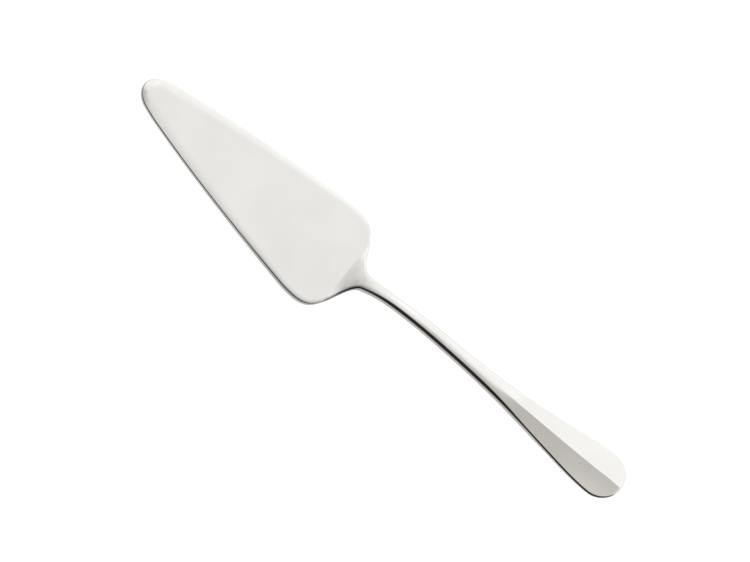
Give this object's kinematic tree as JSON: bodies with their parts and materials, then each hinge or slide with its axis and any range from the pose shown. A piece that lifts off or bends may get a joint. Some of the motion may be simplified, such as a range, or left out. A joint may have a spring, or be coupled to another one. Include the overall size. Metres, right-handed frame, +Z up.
{
  "type": "cake server",
  "caption": "Polished steel cake server: long tapered blade with rounded tip and shoulders, cranked neck, slim shank and a ridged handle with a round end.",
  "frame": {"origin": "middle of the server's box on the table plane that the blade's underside lies on", "axes": "+X from the blade's tip to the handle's end, +Y across the blade, +Z up from the table"},
  "size_m": [0.235, 0.045, 0.0307],
  "materials": {
    "polished_steel": "mirror polished stainless steel"
  },
  "bodies": {
    "root": {"blade": "polished_steel", "handle": "polished_steel"}
  },
  "joints": []
}
